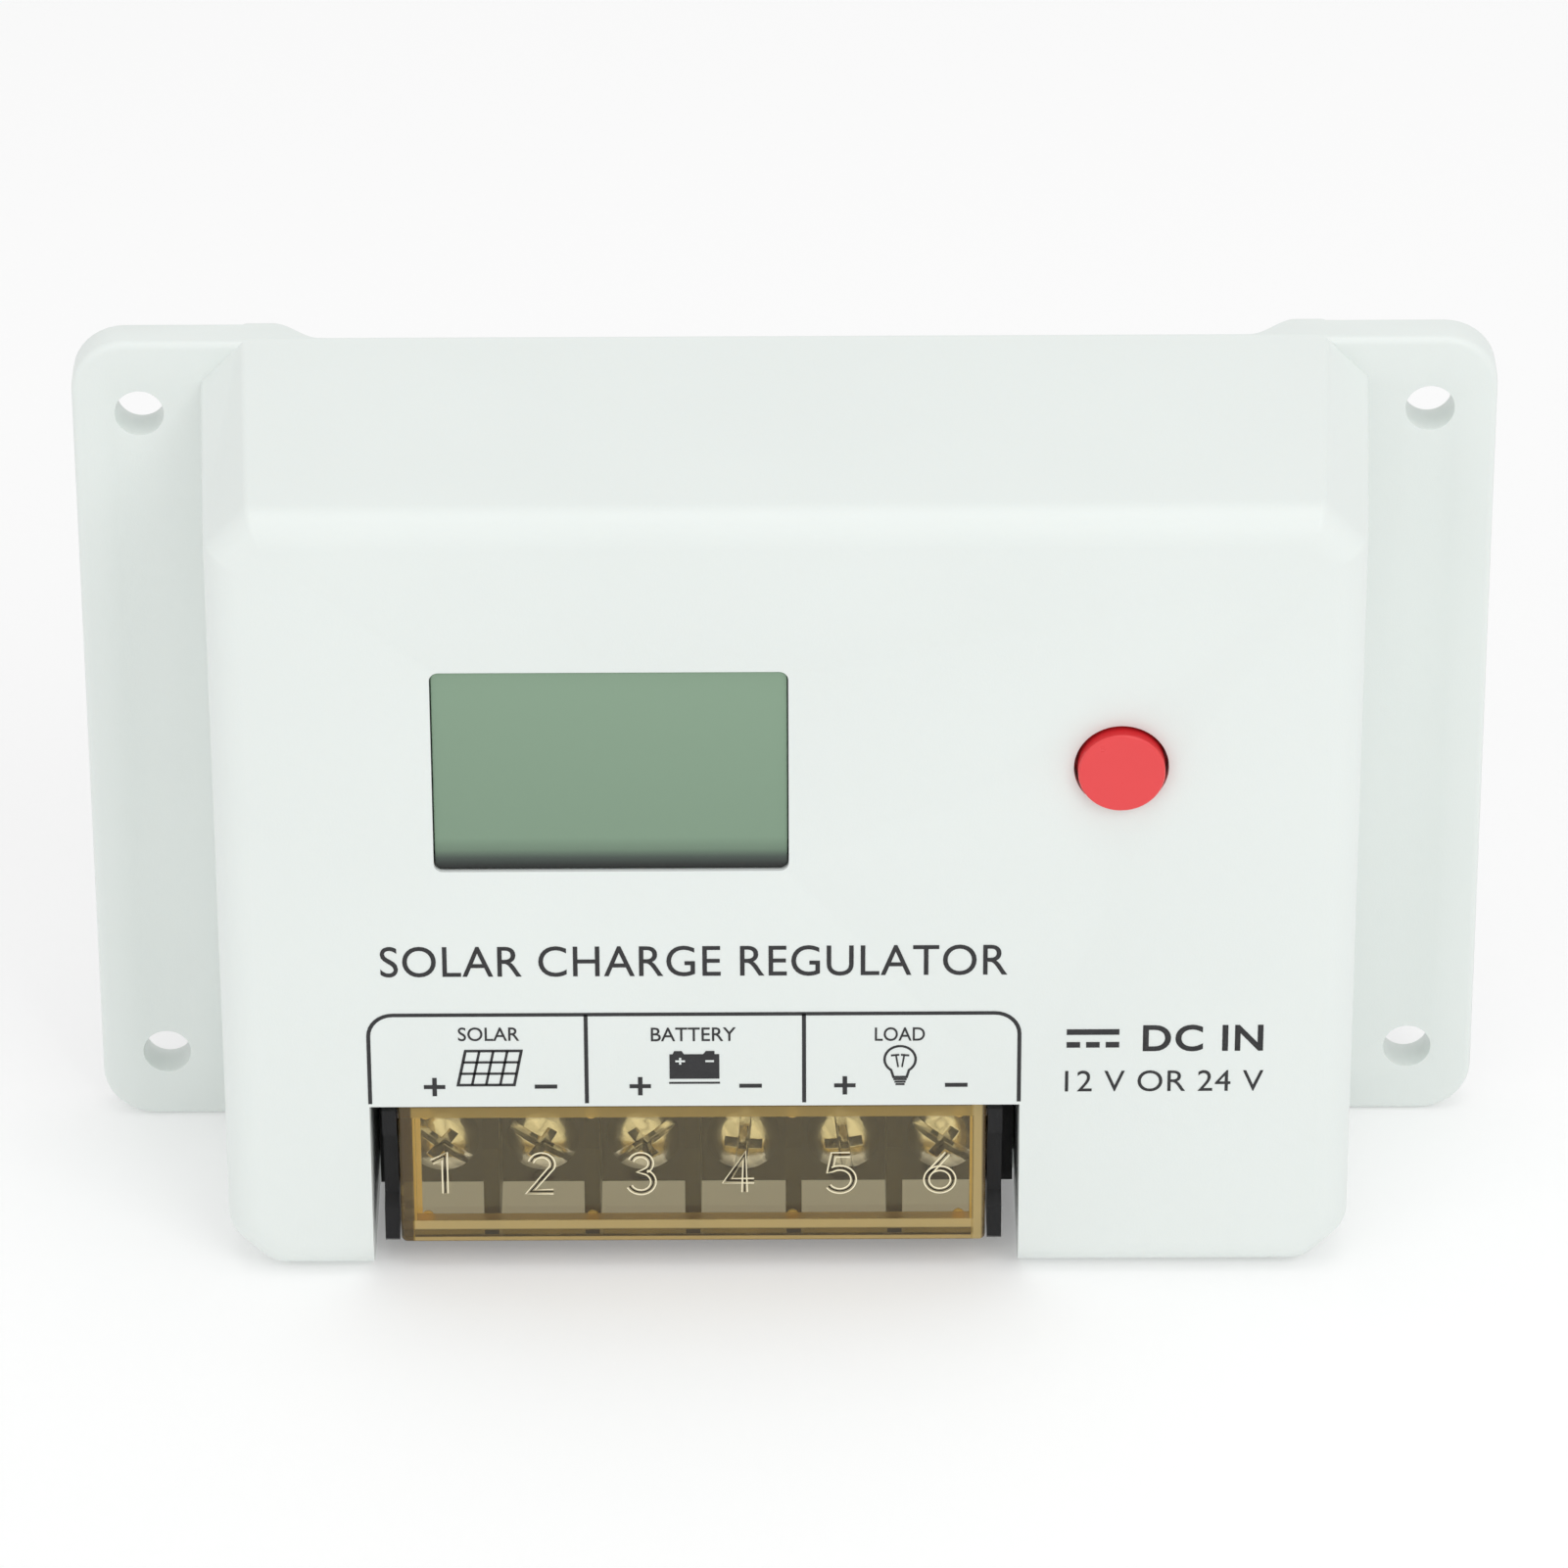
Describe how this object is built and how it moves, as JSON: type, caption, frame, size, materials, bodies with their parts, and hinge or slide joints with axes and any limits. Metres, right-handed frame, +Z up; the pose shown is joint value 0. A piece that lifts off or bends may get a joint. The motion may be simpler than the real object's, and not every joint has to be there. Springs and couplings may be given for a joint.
{
  "type": "solar charge controller",
  "caption": "Wall-mounted solar charge controller with a small display, a push button and a terminal block under a hinged clear cover.",
  "frame": {"origin": "centre of the four mounting holes, on the wall plane", "axes": "+Z up, -Y out of the front panel, +X to the right as seen from the front; the wall plane is y = 0"},
  "size_m": [0.1324, 0.0338, 0.0846],
  "materials": {
    "housing_abs": "white moulded ABS, fine matt texture",
    "plate_aluminium": "bare rolled sheet",
    "screw_steel": "zinc plated",
    "button_red": "satin red",
    "lcd_glass": "grey-green display glass",
    "lens_clear": "clear acrylic window over the grey-green display",
    "backlight_plastic": "white diffuser",
    "plated_pins": "tin plated",
    "board_green": "green solder mask",
    "black_plastic": "black moulding compound",
    "block_black": "black thermoplastic, satin",
    "plated_brass": "nickel plated brass",
    "plated_steel": "nickel plated steel",
    "amber_cover": "clear amber moulding",
    "pad_silicone": "grey thermal pad",
    "bar_steel": "zinc plated strip",
    "can_aluminium": "drawn aluminium can",
    "sleeve_blue": "shrink sleeve",
    "shunt_copper": "copper alloy strip",
    "chip_ceramic": "chip ceramic"
  },
  "bodies": {
    "case": {"housing": "housing_abs", "back_plate": "plate_aluminium", "back_plate_screws": "screw_steel", "display_lens": "lens_clear", "lcd_panel": "lcd_glass", "lcd_backlight": "backlight_plastic", "lcd_pins": "plated_pins", "display_board": "board_green", "display_board_screws": "screw_steel", "switch_body": "black_plastic", "header_socket": "black_plastic", "header_pins": "black_plastic", "main_board": "board_green", "main_board_screws": "screw_steel", "terminal_body": "block_black", "terminal_contacts": "plated_brass", "thermal_pad": "pad_silicone", "mosfet_bodies": "black_plastic", "mosfet_tabs": "plated_pins", "mosfet_clamp_bar": "bar_steel", "clamp_bar_screws": "screw_steel", "capacitors": "can_aluminium", "capacitor_sleeves": "sleeve_blue", "surge_diodes": "black_plastic", "shunt_resistor": "shunt_copper", "microcontroller": "black_plastic", "driver_chips": "black_plastic", "crystal": "can_aluminium", "chip_components": "chip_ceramic", "temperature_sensor": "black_plastic"},
    "button": {"button_cap": "button_red"},
    "plunger": {"switch_plunger": "black_plastic"},
    "cover": {"terminal_cover": "amber_cover"},
    "washer_1": {"clamp_washer_1": "plated_steel"},
    "screw_1": {"terminal_screw_1": "plated_steel"},
    "washer_2": {"clamp_washer_2": "plated_steel"},
    "screw_2": {"terminal_screw_2": "plated_steel"},
    "washer_3": {"clamp_washer_3": "plated_steel"},
    "screw_3": {"terminal_screw_3": "plated_steel"},
    "washer_4": {"clamp_washer_4": "plated_steel"},
    "screw_4": {"terminal_screw_4": "plated_steel"},
    "washer_5": {"clamp_washer_5": "plated_steel"},
    "screw_5": {"terminal_screw_5": "plated_steel"},
    "washer_6": {"clamp_washer_6": "plated_steel"},
    "screw_6": {"terminal_screw_6": "plated_steel"}
  },
  "joints": [
    {"name": "button_press", "type": "slide", "parent": "case", "child": "button", "axis": [0, 1, 0], "range_m": [0, 0.0006]},
    {"name": "switch_travel", "type": "slide", "parent": "case", "child": "plunger", "axis": [0, 1, 0], "range_m": [0, 0.0006]},
    {"name": "cover_hinge", "type": "hinge", "parent": "case", "child": "cover", "pos_m": [-0.00895, -0.0293, -0.0259], "axis": [-1, 0, 0], "range_deg": [0, 95]},
    {"name": "clamp_lift_1", "type": "slide", "parent": "case", "child": "washer_1", "axis": [0, -1, 0], "range_m": [0, 0.003]},
    {"name": "screw_turn_1", "type": "hinge", "parent": "washer_1", "child": "screw_1", "pos_m": [-0.0327, -0.0219, -0.0328], "axis": [0, -1, 0], "range_deg": [0, 2160]},
    {"name": "clamp_lift_2", "type": "slide", "parent": "case", "child": "washer_2", "axis": [0, -1, 0], "range_m": [0, 0.003]},
    {"name": "screw_turn_2", "type": "hinge", "parent": "washer_2", "child": "screw_2", "pos_m": [-0.0232, -0.0219, -0.0328], "axis": [0, -1, 0], "range_deg": [0, 2160]},
    {"name": "clamp_lift_3", "type": "slide", "parent": "case", "child": "washer_3", "axis": [0, -1, 0], "range_m": [0, 0.003]},
    {"name": "screw_turn_3", "type": "hinge", "parent": "washer_3", "child": "screw_3", "pos_m": [-0.0137, -0.0219, -0.0328], "axis": [0, -1, 0], "range_deg": [0, 2160]},
    {"name": "clamp_lift_4", "type": "slide", "parent": "case", "child": "washer_4", "axis": [0, -1, 0], "range_m": [0, 0.003]},
    {"name": "screw_turn_4", "type": "hinge", "parent": "washer_4", "child": "screw_4", "pos_m": [-0.0042, -0.0219, -0.0328], "axis": [0, -1, 0], "range_deg": [0, 2160]},
    {"name": "clamp_lift_5", "type": "slide", "parent": "case", "child": "washer_5", "axis": [0, -1, 0], "range_m": [0, 0.003]},
    {"name": "screw_turn_5", "type": "hinge", "parent": "washer_5", "child": "screw_5", "pos_m": [0.0053, -0.0219, -0.0328], "axis": [0, -1, 0], "range_deg": [0, 2160]},
    {"name": "clamp_lift_6", "type": "slide", "parent": "case", "child": "washer_6", "axis": [0, -1, 0], "range_m": [0, 0.003]},
    {"name": "screw_turn_6", "type": "hinge", "parent": "washer_6", "child": "screw_6", "pos_m": [0.0148, -0.0219, -0.0328], "axis": [0, -1, 0], "range_deg": [0, 2160]}
  ],
  "couplings": [
    {"joint": "switch_travel", "follows": "button_press", "ratio": 1},
    {"joint": "screw_turn_1", "follows": "clamp_lift_1", "rad_per_m": 12566},
    {"joint": "screw_turn_2", "follows": "clamp_lift_2", "rad_per_m": 12566},
    {"joint": "screw_turn_3", "follows": "clamp_lift_3", "rad_per_m": 12566},
    {"joint": "screw_turn_4", "follows": "clamp_lift_4", "rad_per_m": 12566},
    {"joint": "screw_turn_5", "follows": "clamp_lift_5", "rad_per_m": 12566},
    {"joint": "screw_turn_6", "follows": "clamp_lift_6", "rad_per_m": 12566}
  ]
}
